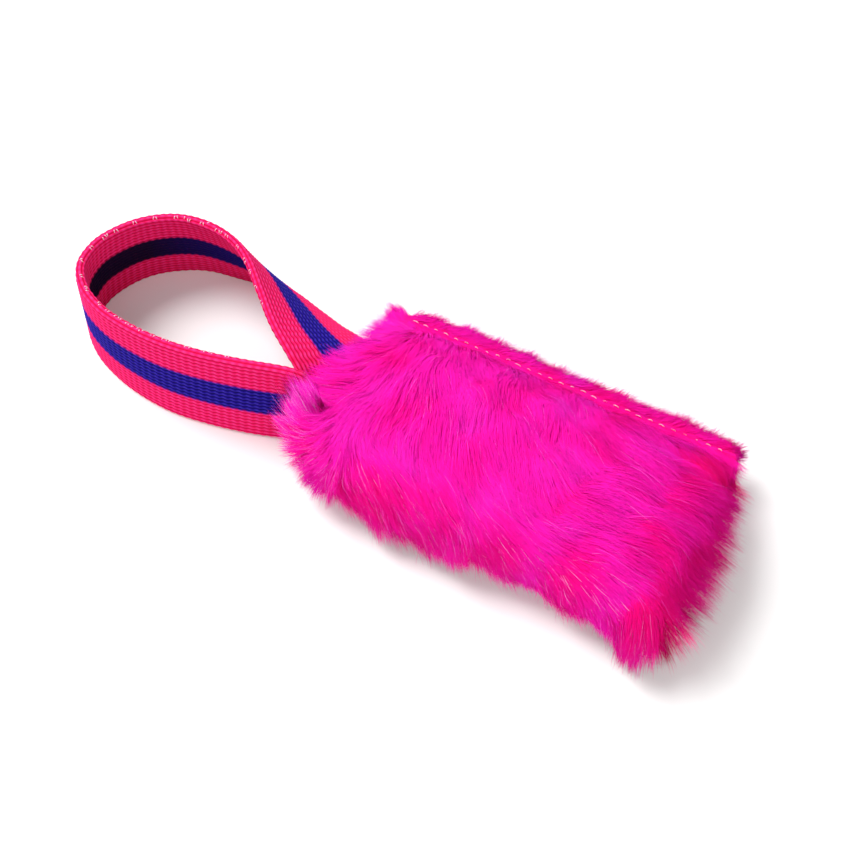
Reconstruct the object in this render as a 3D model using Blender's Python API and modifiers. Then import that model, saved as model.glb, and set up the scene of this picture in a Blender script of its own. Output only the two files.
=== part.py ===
"""Furry prey dummy: a padded faux fur pillow with a webbing handle loop.

Metres, +Z up. The pillow lies along X with its handle towards -X. The origin is the middle of the
whole object's footprint, on the surface that it lies on. The pillow is one sheet of fur folded along
its near long edge (-Y), and its other three edges are seams.
"""

import math

import bmesh
import bpy
from mathutils import Vector

# Pillow
COVER_LENGTH = 0.095
COVER_WIDTH = 0.057
CROWN_HEIGHT = 0.0245
SEAM_HEIGHT = 0.0105
FUR_THICKNESS = 0.004
PRESSED_THICKNESS = 0.0016
STITCHED_BAND = 0.0042
PLAIN_END_RECESS = 0.0035
NEAR_EDGE_BULGE = 0.0028
LOCK_HEIGHT = 0.0017
LOCK_SPACING = 0.018
REST_CUT = 0.0005

# Webbing
WEBBING_WIDTH = 0.025
WEBBING_THICKNESS = 0.0026
WEBBING_EDGE_RADIUS = 0.0009
LOOP_REACH = 0.0835
LOOP_SPREAD = 0.047
TAIL_LENGTH = 0.016
RING_SPACING = 0.0023

# Threads
THREAD_RADIUS = 0.0003
TOPSTITCH_LENGTH = 0.0042
TOPSTITCH_WAVE = 0.0003
SEAM_STITCH_LENGTH = 0.005
SEAM_STITCH_WAVE = 0.0004
CATCH_THREAD_RADIUS = 0.00025
CATCH_PITCH = 0.005
CATCH_WAVE = 0.0005
TACK_LENGTH = 0.006
TACK_MARGIN = 0.0025

# Fits
CLEARANCE = 0.0003
CUT_OVERRUN = 0.004
MERGE_DISTANCE = 0.00001

# Places across the pillow, measured from the middle of its width
UPPER_STRAP_OFFSET = 0.0045
LOWER_STRAP_OFFSET = -0.0095

# Counts and angles
SECTION_POINTS = 29
LENGTH_RINGS = 26
CAVITY_RINGS = 12
STRIPS_ACROSS = 4
STEPS_PER_SPAN = 24
WAVE_STEPS = 6
SEAM_THREAD_END_POINT = 12
BEVEL_ANGLE = 60.0

# Shape of the pillow: how blunt its cross-section and its two ends are, as superellipse powers
SECTION_POWER = 2.5
HANDLE_END_POWER = 2.3
PLAIN_END_POWER = 2.9
OPENING_RISE_SHARE = 0.45
END_CROWDING_SHARE = 0.35

# The webbing's middle line from the lower tail's inner end round the loop to the upper tail's.
# Each row: distance from the seam as a share of LOOP_REACH (into the pillow is negative), place
# across as a share of LOOP_SPREAD, height of the middle line above the floor as a share of
# WEBBING_WIDTH, and the lean of the width from upright in degrees.
ROUTE_SHARES = (
    (0.000, -0.202, 0.362, 90.0),
    (0.017, -0.202, 0.362, 89.0),
    (0.036, -0.202, 0.376, 74.0),
    (0.058, -0.204, 0.430, 45.0),
    (0.080, -0.212, 0.484, 17.0),
    (0.106, -0.228, 0.504, 2.0),
    (0.137, -0.256, 0.504, 0.0),
    (0.178, -0.302, 0.504, 0.0),
    (0.245, -0.367, 0.504, 0.0),
    (0.354, -0.424, 0.504, 0.0),
    (0.473, -0.458, 0.504, 0.0),
    (0.596, -0.458, 0.504, 0.0),
    (0.711, -0.424, 0.504, 0.0),
    (0.818, -0.344, 0.504, -2.0),
    (0.904, -0.211, 0.502, -6.0),
    (0.949, -0.022, 0.500, -11.0),
    (0.948, 0.156, 0.496, -13.0),
    (0.913, 0.311, 0.492, -15.0),
    (0.843, 0.416, 0.490, -17.0),
    (0.749, 0.469, 0.488, -18.0),
    (0.635, 0.487, 0.480, -21.0),
    (0.521, 0.472, 0.472, -28.0),
    (0.413, 0.405, 0.480, -35.0),
    (0.305, 0.310, 0.492, -43.0),
    (0.198, 0.208, 0.528, -54.0),
    (0.102, 0.130, 0.548, -64.0),
    (0.052, 0.104, 0.520, -77.0),
    (0.020, 0.096, 0.480, -89.0),
    (0.000, 0.096, 0.478, -90.0),
)
LOWER_CUT_SHARE = 0.187
UPPER_CUT_SHARE = 0.223

# Worked out from the sizes above
OVERALL_LENGTH = COVER_LENGTH + LOOP_REACH
SEAM_X = LOOP_REACH - OVERALL_LENGTH / 2
COVER_END_X = SEAM_X + COVER_LENGTH
FAR_EDGE_Y = COVER_WIDTH / 2
STITCH_LINE_Y = FAR_EDGE_Y - STITCHED_BAND
NEAR_EDGE_Y = -COVER_WIDTH / 2
SECTION_CENTRE_Y = (STITCH_LINE_Y + NEAR_EDGE_Y + NEAR_EDGE_BULGE) / 2
EDGE_HALF_THICKNESS = PRESSED_THICKNESS + CLEARANCE / 2
UPPER_RISE = CROWN_HEIGHT - SEAM_HEIGHT
LOWER_DROP = SEAM_HEIGHT + REST_CUT
TAIL_SPACING = WEBBING_THICKNESS / 2 + CLEARANCE / 2
SLOT_HALF_HEIGHT = WEBBING_THICKNESS + CLEARANCE * 3 / 2
SLOT_NEAR_Y = LOWER_STRAP_OFFSET - WEBBING_WIDTH / 2 - CLEARANCE
SLOT_FAR_Y = UPPER_STRAP_OFFSET + WEBBING_WIDTH / 2 + CLEARANCE
SLOT_END_X = SEAM_X + TAIL_LENGTH + CLEARANCE
TACK_ROOM = THREAD_RADIUS * 2 + CLEARANCE

# Colours, roughness
FUR_PINK = (0.95, 0.012, 0.30, 1.0)
WEBBING_PINK = (0.85, 0.012, 0.11, 1.0)
THREAD_WHITE = (0.93, 0.80, 0.86, 1.0)
FIBRE_WHITE = (0.88, 0.88, 0.86, 1.0)


def clear_scene():
    for obj in list(bpy.data.objects):
        bpy.data.objects.remove(obj, do_unlink=True)


def new_collection(name):
    collection = bpy.data.collections.new(name)
    bpy.context.scene.collection.children.link(collection)
    return collection


def make_material(name, colour, roughness):
    material = bpy.data.materials.new(name)
    material.use_nodes = True
    shader = material.node_tree.nodes["Principled BSDF"]
    shader.inputs["Base Color"].default_value = colour
    shader.inputs["Roughness"].default_value = roughness
    shader.inputs["Metallic"].default_value = 0.0
    return material


def add_object(name, mesh, collection, material=None):
    obj = bpy.data.objects.new(name, mesh)
    collection.objects.link(obj)
    if material:
        mesh.materials.append(material)
    return obj


def power_sine(angle, power):
    return abs(math.sin(angle)) ** (2 / power)


def power_cosine(angle, power):
    return math.copysign(abs(math.cos(angle)) ** (2 / power), math.cos(angle))


def spaced_angle(share, power):
    """The angle at a share of a superellipse's axis: even steps, but closer ones at both ends."""
    place = 1 - 2 * share
    place *= 1 + END_CROWDING_SHARE * (1 - place * place)
    return math.acos(math.copysign(abs(place) ** (power / 2), place))


def strap_window(y):
    """How far the handle-end seam opens round the straps: 1 over them, 0 at the corners."""
    reach = WEBBING_WIDTH / 2 + SLOT_HALF_HEIGHT
    low = LOWER_STRAP_OFFSET - reach
    high = UPPER_STRAP_OFFSET + reach
    outside = max(low - y, y - high, 0.0)
    share = min(outside / SLOT_HALF_HEIGHT, 1.0)
    return 1.0 - share * share * (3 - 2 * share)


def locks(x, y):
    """The pile's main locks on the upper layer: crests at 1, the hollows between them at -1."""
    along_wave = math.sin(math.tau * (x + y / 2) / LOCK_SPACING)
    across_wave = math.sin(math.tau * (y - x / 3) / LOCK_SPACING)
    return along_wave * across_wave


def pillow_point(along, around, inset, edge_half):
    """A point on the pillow's skin, or on a skin that lies inset inside it.

    along runs 0 to 1 from the handle end to the plain end. around is the point's number in the
    cross-section: the first and last are the tips of the stitched band, the middle one the fold.
    """
    end_power = HANDLE_END_POWER if along < 0.5 else PLAIN_END_POWER
    run = spaced_angle(along, end_power)
    fullness = power_sine(run, end_power)
    recess = PLAIN_END_RECESS if along > 0.5 else 0.0
    half_length = (COVER_LENGTH - (PLAIN_END_RECESS if inset else 0.0)) / 2 - inset
    middle = SEAM_X + inset + half_length

    in_band = around in (0, SECTION_POINTS - 1)
    upper = around < SECTION_POINTS / 2
    steps = (SECTION_POINTS - 3) // 2
    from_band = around - 1 if upper else SECTION_POINTS - 2 - around
    turn = 0.0 if in_band else spaced_angle(from_band / steps, SECTION_POWER)
    rise = 0.0 if in_band else power_sine(turn, SECTION_POWER)
    reach = power_cosine(turn, SECTION_POWER)

    x = middle - half_length * power_cosine(run, end_power)
    if not inset:
        x -= recess * rise * (1 - fullness) ** 2

    if reach >= 0:
        y = SECTION_CENTRE_Y + (STITCH_LINE_Y - inset / 2 - SECTION_CENTRE_Y) * reach
    else:
        bulge = NEAR_EDGE_BULGE * math.sin(run)
        y = SECTION_CENTRE_Y + (SECTION_CENTRE_Y - NEAR_EDGE_Y - NEAR_EDGE_BULGE + bulge - inset) * reach
    if in_band and not inset:
        y = FAR_EDGE_Y

    full_height = (UPPER_RISE if upper else LOWER_DROP) - inset
    half_height = edge_half + (full_height - edge_half) * fullness * rise
    if reach < 0:
        half_height = (edge_half + (full_height - edge_half) * fullness) * rise
    if along < 0.5:
        opening = SLOT_HALF_HEIGHT * strap_window(y) * (1 - fullness)
        half_height += opening * min(1.0, rise / OPENING_RISE_SHARE) if reach < 0 else opening
    if upper and not inset:
        half_height += LOCK_HEIGHT * locks(x, y) * fullness * rise
    z = SEAM_HEIGHT + half_height if upper else max(SEAM_HEIGHT - half_height, inset)
    return Vector((x, y, z))


def pillow_mesh(name, rings, inset, edge_half):
    """A sphere's points moved onto the pillow. A strip of faces takes the place of each pole."""
    bm = bmesh.new()
    bmesh.ops.create_uvsphere(bm, u_segments=SECTION_POINTS, v_segments=rings, radius=1.0)
    poles = []
    ends = {1: {}, rings - 1: {}}
    for vert in bm.verts:
        polar = math.acos(max(-1.0, min(1.0, vert.co.z)))
        ring = round(polar / math.pi * rings)
        if ring in (0, rings):
            poles.append(vert)
            continue
        around = round(math.atan2(vert.co.y, vert.co.x) / math.tau * SECTION_POINTS) % SECTION_POINTS
        vert.co = pillow_point((ring - 1) / (rings - 2), around, inset, edge_half)
        if ring in ends:
            ends[ring][around] = vert
    bmesh.ops.delete(bm, geom=poles, context="VERTS")
    last = SECTION_POINTS - 1
    for end in ends.values():
        for k in range(last // 2 - 1):
            bm.faces.new((end[k], end[k + 1], end[last - k - 1], end[last - k]))
        bm.faces.new((end[last // 2 - 1], end[last // 2], end[last // 2 + 1]))
    bmesh.ops.remove_doubles(bm, verts=bm.verts, dist=MERGE_DISTANCE)
    bmesh.ops.recalc_face_normals(bm, faces=bm.faces)
    mesh = bpy.data.meshes.new(name)
    bm.to_mesh(mesh)
    bm.free()
    return mesh


def box_mesh(name, low, high):
    bm = bmesh.new()
    bmesh.ops.create_cube(bm, size=1.0)
    for vert in bm.verts:
        vert.co = Vector([low[k] + (vert.co[k] + 1 / 2) * (high[k] - low[k]) for k in range(3)])
    mesh = bpy.data.meshes.new(name)
    bm.to_mesh(mesh)
    bm.free()
    return mesh


def make_cutter(name, mesh, collection):
    cutter = add_object(name, mesh, collection)
    cutter.hide_render = True
    cutter.display_type = "WIRE"
    return cutter


def cut(obj, *cutters):
    for cutter in cutters:
        modifier = obj.modifiers.new("cut " + cutter.name, "BOOLEAN")
        modifier.operation = "DIFFERENCE"
        modifier.solver = "EXACT"
        modifier.object = cutter


def smooth_rows(rows, steps):
    """A smooth line through every row of a table, with steps points to each span."""
    out = []
    last = len(rows) - 1
    for i in range(last):
        before, start, end, after = (rows[max(0, min(last, i + k))] for k in (-1, 0, 1, 2))
        for step in range(steps):
            t = step / steps
            row = []
            for a, b, c, d in zip(before, start, end, after):
                row.append(b + t * ((c - a) + t * ((2 * a - 5 * b + 4 * c - d) + t * (3 * b - a - 3 * c + d))) / 2)
            out.append(row)
    out.append(list(rows[-1]))
    return out


def webbing_rings():
    """Points, width directions and level directions at even spacing along the webbing."""
    rows = []
    for out_share, across_share, height_share, lean in ROUTE_SHARES:
        x = SEAM_X - LOOP_REACH * out_share
        y = LOOP_SPREAD * across_share
        z = WEBBING_WIDTH * height_share
        rows.append((x, y, z, lean))
    lower = (LOWER_STRAP_OFFSET, SEAM_HEIGHT - TAIL_SPACING, 90.0)
    upper = (UPPER_STRAP_OFFSET, SEAM_HEIGHT + TAIL_SPACING, -90.0)
    tail_xs = (SEAM_X + TAIL_LENGTH, SEAM_X + TAIL_LENGTH / 2, SEAM_X + TAIL_LENGTH / 5)
    rows = [(x, *lower) for x in tail_xs] + rows + [(x, *upper) for x in reversed(tail_xs)]
    fine = smooth_rows(rows, STEPS_PER_SPAN)

    lengths = [0.0]
    for a, b in zip(fine, fine[1:]):
        lengths.append(lengths[-1] + (Vector(b[:3]) - Vector(a[:3])).length)
    count = round(lengths[-1] / RING_SPACING)
    rings = []
    k = 0
    for i in range(count + 1):
        target = lengths[-1] * i / count
        while k < len(fine) - 2 and lengths[k + 1] < target:
            k += 1
        share = (target - lengths[k]) / (lengths[k + 1] - lengths[k])
        a, b = Vector(fine[k][:3]), Vector(fine[k + 1][:3])
        lean = fine[k][3] + (fine[k + 1][3] - fine[k][3]) * share
        forward = Vector((b.x - a.x, b.y - a.y, 0)).normalized()
        up = Vector((0, 0, 1))
        angle = math.radians(lean)
        width = up * math.cos(angle) - forward.cross(up) * math.sin(angle)
        rings.append((a.lerp(b, share), width, forward))
    return rings


def strap_mesh(name, rings):
    """A grid laid along the rings, one row of points to each ring."""
    bm = bmesh.new()
    rows = len(rings) - 1
    bmesh.ops.create_grid(bm, x_segments=rows, y_segments=STRIPS_ACROSS, size=1.0)
    for vert in bm.verts:
        place, width, _ = rings[round((vert.co.x + 1) / 2 * rows)]
        vert.co = place + width * (vert.co.y * WEBBING_WIDTH / 2)
    mesh = bpy.data.meshes.new(name)
    bm.to_mesh(mesh)
    bm.free()
    return mesh


def make_strap(name, rings, collection, material):
    strap = add_object(name, strap_mesh(name, rings), collection, material)
    solid = strap.modifiers.new("thickness", "SOLIDIFY")
    solid.thickness = WEBBING_THICKNESS
    solid.offset = 0.0
    solid.use_even_offset = False
    soft = strap.modifiers.new("soft edges", "BEVEL")
    soft.width = WEBBING_EDGE_RADIUS
    soft.segments = 2
    soft.limit_method = "ANGLE"
    soft.angle_limit = math.radians(BEVEL_ANGLE)


def make_thread(name, points, radius, collection, material, cyclic=False):
    curve = bpy.data.curves.new(name, "CURVE")
    curve.dimensions = "3D"
    curve.bevel_depth = radius
    curve.bevel_resolution = 1
    curve.use_fill_caps = True
    spline = curve.splines.new("POLY")
    spline.points.add(len(points) - 1)
    for point, place in zip(spline.points, points):
        point.co = (*place, 1.0)
    spline.use_cyclic_u = cyclic
    thread = bpy.data.objects.new(name, curve)
    collection.objects.link(thread)
    curve.materials.append(material)


def wavy_line(start, end, pitch, wave_direction):
    """Points from start to end that rise and fall once every pitch."""
    span = end - start
    waves = max(1, round(span.length / pitch))
    count = waves * WAVE_STEPS
    points = []
    for i in range(count + 1):
        wave = math.sin(math.tau * waves * i / count)
        points.append(start + span * (i / count) + wave_direction * wave)
    return points


def build_cover(collection, cutters, material):
    cover = add_object("fur_cover", pillow_mesh("fur_cover", LENGTH_RINGS, 0.0, EDGE_HALF_THICKNESS),
                       collection, material)
    cavity = make_cutter("cavity_cutter", pillow_mesh("cavity_cutter", CAVITY_RINGS, FUR_THICKNESS,
                                                      CLEARANCE * 3 / 2), cutters)
    slit_low = (SEAM_X - CUT_OVERRUN, NEAR_EDGE_Y + NEAR_EDGE_BULGE + PRESSED_THICKNESS,
                SEAM_HEIGHT - CLEARANCE / 2)
    slit_high = (COVER_END_X + CUT_OVERRUN, FAR_EDGE_Y + CUT_OVERRUN, SEAM_HEIGHT + CLEARANCE / 2)
    slit = make_cutter("seam_cutter", box_mesh("seam_cutter", slit_low, slit_high), cutters)
    slot_low = (SEAM_X - CUT_OVERRUN, SLOT_NEAR_Y, SEAM_HEIGHT - SLOT_HALF_HEIGHT)
    slot_high = (SLOT_END_X, SLOT_FAR_Y, SEAM_HEIGHT + SLOT_HALF_HEIGHT)
    slot = make_cutter("slot_cutter", box_mesh("slot_cutter", slot_low, slot_high), cutters)
    cut(cover, cavity, slit, slot)


def build_filling(collection, cutters, material):
    skin = FUR_THICKNESS + CLEARANCE * 3
    filling = add_object("fibre_filling", pillow_mesh("fibre_filling", CAVITY_RINGS, skin, CLEARANCE / 2),
                         collection, material)
    half_pocket = SLOT_HALF_HEIGHT + TACK_ROOM
    pocket_low = (SEAM_X - CUT_OVERRUN, SLOT_NEAR_Y, SEAM_HEIGHT - half_pocket)
    pocket_high = (SLOT_END_X, SLOT_FAR_Y, SEAM_HEIGHT + half_pocket)
    pocket = make_cutter("pocket_cutter", box_mesh("pocket_cutter", pocket_low, pocket_high), cutters)
    cut(filling, pocket)


def build_webbing(collection, material):
    rings = webbing_rings()
    on_lower = [r for r in rings[:len(rings) // 2] if r[0].x > SEAM_X - LOOP_REACH * LOWER_CUT_SHARE]
    on_upper = [r for r in rings[len(rings) // 2:] if r[0].x > SEAM_X - LOOP_REACH * UPPER_CUT_SHARE]
    loop = rings[len(on_lower):len(rings) - len(on_upper)]
    first, last = loop[0], loop[-1]
    lower_joint = (first[0] + first[2] * -CLEARANCE, first[1], first[2])
    upper_joint = (last[0] + last[2] * CLEARANCE, last[1], last[2])
    make_strap("lower_strap_end", on_lower + [lower_joint], collection, material)
    make_strap("upper_strap_end", [upper_joint] + on_upper, collection, material)
    make_strap("handle_loop", loop, collection, material)
    return loop


def build_catch_thread(loop, collection, material):
    lift = WEBBING_WIDTH / 2 + CATCH_THREAD_RADIUS + CLEARANCE
    length = sum((b[0] - a[0]).length for a, b in zip(loop, loop[1:]))
    waves = round(length / CATCH_PITCH)
    count = waves * WAVE_STEPS
    points = []
    for i in range(count + 1):
        where = (len(loop) - 1) * i / count
        k = min(int(where), len(loop) - 2)
        share = where - k
        place = loop[k][0].lerp(loop[k + 1][0], share)
        width = loop[k][1].lerp(loop[k + 1][1], share).normalized()
        across = width.cross(loop[k][2]).normalized()
        wave = CATCH_WAVE * math.sin(math.tau * waves * i / count)
        points.append(place + width * lift + across * wave)
    make_thread("catch_thread", points, CATCH_THREAD_RADIUS, collection, material)


def build_topstitch(collection, material):
    band_y = STITCH_LINE_Y + THREAD_RADIUS + CLEARANCE
    lift = EDGE_HALF_THICKNESS + CLEARANCE + THREAD_RADIUS + TOPSTITCH_WAVE
    margin = PRESSED_THICKNESS + PLAIN_END_RECESS
    for name, side in (("topstitch_needle_thread", 1), ("topstitch_bobbin_thread", -1)):
        start = Vector((SEAM_X + margin, band_y, SEAM_HEIGHT + side * lift))
        end = Vector((COVER_END_X - margin, band_y, SEAM_HEIGHT + side * lift))
        points = wavy_line(start, end, TOPSTITCH_LENGTH, Vector((0, 0, TOPSTITCH_WAVE)))
        make_thread(name, points, THREAD_RADIUS, collection, material)


def build_end_seams(collection, material):
    seam_out = CLEARANCE + THREAD_RADIUS
    wave = Vector((0, 0, SEAM_STITCH_WAVE))
    rim = [pillow_point(1.0, k, 0.0, EDGE_HALF_THICKNESS) for k in range(2, SEAM_THREAD_END_POINT)]
    points = []
    for a, b in zip(rim, rim[1:]):
        start = Vector((a.x + seam_out, a.y, SEAM_HEIGHT))
        end = Vector((b.x + seam_out, b.y, SEAM_HEIGHT))
        points += wavy_line(start, end, SEAM_STITCH_LENGTH, wave)[:-1]
    make_thread("plain_end_seam_thread", points, THREAD_RADIUS, collection, material)

    handle_x = SEAM_X - seam_out
    over_strap = SLOT_HALF_HEIGHT + THREAD_RADIUS
    side_room = WEBBING_WIDTH / 2 + seam_out + THREAD_RADIUS
    low_y = LOWER_STRAP_OFFSET - side_room
    high_y = UPPER_STRAP_OFFSET + side_room
    near = Vector((handle_x, NEAR_EDGE_Y + NEAR_EDGE_BULGE + PRESSED_THICKNESS, SEAM_HEIGHT))
    far = Vector((handle_x, FAR_EDGE_Y - PRESSED_THICKNESS, SEAM_HEIGHT))
    corners = [near, Vector((handle_x, low_y, SEAM_HEIGHT)),
               Vector((handle_x, low_y, SEAM_HEIGHT + over_strap)),
               Vector((handle_x, high_y, SEAM_HEIGHT + over_strap)),
               Vector((handle_x, high_y, SEAM_HEIGHT)), far]
    make_thread("handle_end_seam_thread", corners, THREAD_RADIUS, collection, material)


def build_tack(collection, material):
    z = SEAM_HEIGHT + SLOT_HALF_HEIGHT + CLEARANCE / 2 + THREAD_RADIUS
    x_far = SEAM_X + TAIL_LENGTH - TACK_MARGIN
    x_near = x_far - TACK_LENGTH
    y_low = UPPER_STRAP_OFFSET - WEBBING_WIDTH / 2 + TACK_MARGIN
    y_high = UPPER_STRAP_OFFSET + WEBBING_WIDTH / 2 - TACK_MARGIN
    points = [(x_near, y_low, z), (x_far, y_low, z), (x_far, y_high, z), (x_near, y_high, z)]
    make_thread("strap_tack_thread", points, THREAD_RADIUS, collection, material, cyclic=True)


def main():
    clear_scene()
    dummy = new_collection("furry_prey_dummy")
    cutters = new_collection("cutters")
    fur = make_material("pink_fur", FUR_PINK, 0.85)
    webbing = make_material("striped_webbing", WEBBING_PINK, 0.75)
    thread = make_material("white_thread", THREAD_WHITE, 0.55)
    fibre = make_material("white_fibre", FIBRE_WHITE, 0.95)
    build_cover(dummy, cutters, fur)
    build_filling(dummy, cutters, fibre)
    loop = build_webbing(dummy, webbing)
    build_catch_thread(loop, dummy, thread)
    build_topstitch(dummy, thread)
    build_end_seams(dummy, thread)
    build_tack(dummy, thread)


main()
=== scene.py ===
"""Dresses the furry prey dummy: combed faux fur, ribbed webbing and white stitches.

Metres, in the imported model's frame: +X runs along the pillow away from the handle, +Y towards the
stitched long edge, +Z up. Random draws come from one seeded generator, and ripple has its own seeds.
"""

import math

import bmesh
import bpy
import numpy as np
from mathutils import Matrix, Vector, kdtree
from mathutils.bvhtree import BVHTree


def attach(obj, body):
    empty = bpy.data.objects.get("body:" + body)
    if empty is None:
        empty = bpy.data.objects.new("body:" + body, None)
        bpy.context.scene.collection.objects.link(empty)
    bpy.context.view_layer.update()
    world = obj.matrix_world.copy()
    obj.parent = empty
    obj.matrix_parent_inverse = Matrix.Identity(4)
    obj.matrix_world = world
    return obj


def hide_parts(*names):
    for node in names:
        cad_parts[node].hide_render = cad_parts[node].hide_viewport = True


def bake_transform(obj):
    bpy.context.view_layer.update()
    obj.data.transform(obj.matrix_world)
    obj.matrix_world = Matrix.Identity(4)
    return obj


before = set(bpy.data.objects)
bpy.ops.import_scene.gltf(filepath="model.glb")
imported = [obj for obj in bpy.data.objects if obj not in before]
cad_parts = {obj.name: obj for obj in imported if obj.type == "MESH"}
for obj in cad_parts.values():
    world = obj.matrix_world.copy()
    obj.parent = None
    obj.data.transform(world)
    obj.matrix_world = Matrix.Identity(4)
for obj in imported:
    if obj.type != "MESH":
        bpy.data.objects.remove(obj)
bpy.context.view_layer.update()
MM = 0.001
rng = np.random.default_rng(29)

# Camera, fitted to the photograph
AZIMUTH = 30.32
ELEVATION = 52.89
DISTANCE = 272.29 * MM
TARGET = (17.19 * MM, 0.27 * MM, 10.0 * MM)
FOCAL_LENGTH = 46.75
SENSOR = 36.0
CLIP_START = 10 * MM
CLIP_END = 20.0

# Pillow, as in the solids
SEAM_X = -5.75 * MM
COVER_LENGTH = 95.0 * MM
COVER_WIDTH = 57.0 * MM
CROWN = 24.5 * MM
SEAM_Z = 10.5 * MM
BAND = 4.2 * MM
STITCH_Y = COVER_WIDTH / 2 - BAND

# Webbing: the solids' route, with the worn strap's slightly shorter far bend and its backward lean.
# Each row has shares of the reach, the spread and the width, and the lean in degrees.
WEB_WIDTH = 25.0 * MM
WEB_THICK = 2.6 * MM
LOOP_REACH = 83.5 * MM
LOOP_SPREAD = 47.0 * MM
ROUTE_SHARES = (
    (0.000, -0.202, 0.362, 90.0),
    (0.017, -0.202, 0.362, 89.0),
    (0.036, -0.202, 0.376, 74.0),
    (0.058, -0.204, 0.430, 45.0),
    (0.080, -0.212, 0.484, 17.0),
    (0.106, -0.228, 0.504, 2.0),
    (0.137, -0.256, 0.504, 0.0),
    (0.178, -0.302, 0.504, -3.0),
    (0.245, -0.367, 0.504, -4.0),
    (0.354, -0.424, 0.504, -4.0),
    (0.473, -0.456, 0.504, -4.0),
    (0.596, -0.454, 0.504, -3.0),
    (0.711, -0.420, 0.504, -2.0),
    (0.818, -0.344, 0.504, -3.0),
    (0.898, -0.218, 0.502, -6.0),
    (0.932, -0.044, 0.500, -10.0),
    (0.922, 0.109, 0.496, -12.0),
    (0.884, 0.256, 0.492, -13.0),
    (0.819, 0.373, 0.490, -13.0),
    (0.737, 0.450, 0.488, -14.0),
    (0.630, 0.481, 0.480, -16.0),
    (0.521, 0.476, 0.472, -23.0),
    (0.418, 0.420, 0.480, -32.0),
    (0.305, 0.316, 0.492, -43.0),
    (0.198, 0.208, 0.528, -54.0),
    (0.102, 0.130, 0.548, -64.0),
    (0.052, 0.104, 0.520, -77.0),
    (0.020, 0.096, 0.480, -89.0),
    (0.000, 0.096, 0.478, -90.0),
)


# Small helpers
def unit(v):
    return v / np.maximum(np.linalg.norm(v, axis=-1, keepdims=True), 1e-9)


def lerp(a, b, t):
    return a + (b - a) * t


def ease(t):
    t = np.clip(t, 0.0, 1.0)
    return t * t * (3 - 2 * t)


def fade(values, start, over):
    """0 up to start and 1 a length of over further on. A negative over fades the other way."""
    return ease((values - start) / over)


def hump(values, middle, width):
    return np.exp(-((values - middle) / width) ** 2)


def superpower(wave, power):
    """A sine or cosine, sharpened or blunted with its sign kept."""
    return np.sign(wave) * np.abs(wave) ** power


def ripple(points, scale, seed, octaves=3):
    """A smooth random field, about -1 to 1, that changes over scale metres."""
    draw = np.random.default_rng(seed)
    total = np.zeros(len(points))
    for k in range(octaves):
        weight = 0.6 ** k
        for _ in range(6):
            direction = unit(draw.normal(size=3))
            phase = draw.uniform(0, math.tau)
            total += weight * np.sin(points @ direction * (math.tau / scale * 1.7 ** k) + phase)
    return total / 4.2


def tube_quads(rings, count, flip=False):
    """The faces between rings of count points each."""
    start = np.arange(rings - 1)[:, None] * count
    ring = np.arange(count)[None, :]
    after = (ring + 1) % count
    corners = [start + ring, start + count + ring, start + count + after, start + after]
    if flip:
        corners = [start + ring, start + after, start + count + after, start + count + ring]
    return np.stack(corners, -1).reshape(-1, 4)


def add_map(mesh, name, corners):
    layer = mesh.uv_layers.new(name=name)
    layer.data.foreach_set("uv", np.ascontiguousarray(corners, dtype=np.float32).ravel())


def new_mesh(name, verts, faces, uvs=None):
    """A smooth mesh object from arrays. Each array of faces has its own number of corners."""
    mesh = bpy.data.meshes.new(name)
    loops = np.concatenate([f.ravel() for f in faces]).astype(np.int32)
    sizes = np.concatenate([np.full(len(f), f.shape[1]) for f in faces]).astype(np.int32)
    starts = np.concatenate(([0], np.cumsum(sizes)[:-1])).astype(np.int32)
    mesh.vertices.add(len(verts))
    mesh.vertices.foreach_set("co", np.ascontiguousarray(verts, dtype=np.float32).ravel())
    mesh.loops.add(len(loops))
    mesh.loops.foreach_set("vertex_index", loops)
    mesh.polygons.add(len(sizes))
    mesh.polygons.foreach_set("loop_start", starts)
    mesh.update(calc_edges=True)
    if uvs is not None:
        add_map(mesh, "OFBake", uvs[loops])
    mesh.polygons.foreach_set("use_smooth", np.full(len(sizes), True))
    obj = bpy.data.objects.new(name, mesh)
    bpy.context.collection.objects.link(obj)
    return obj


def face_outward(obj, weld=0.0):
    """Turns all faces outward, after welding points that lie closer than weld."""
    bm = bmesh.new()
    bm.from_mesh(obj.data)
    if weld:
        bmesh.ops.remove_doubles(bm, verts=bm.verts, dist=weld)
    bmesh.ops.recalc_face_normals(bm, faces=bm.faces)
    bm.to_mesh(obj.data)
    bm.free()


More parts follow.
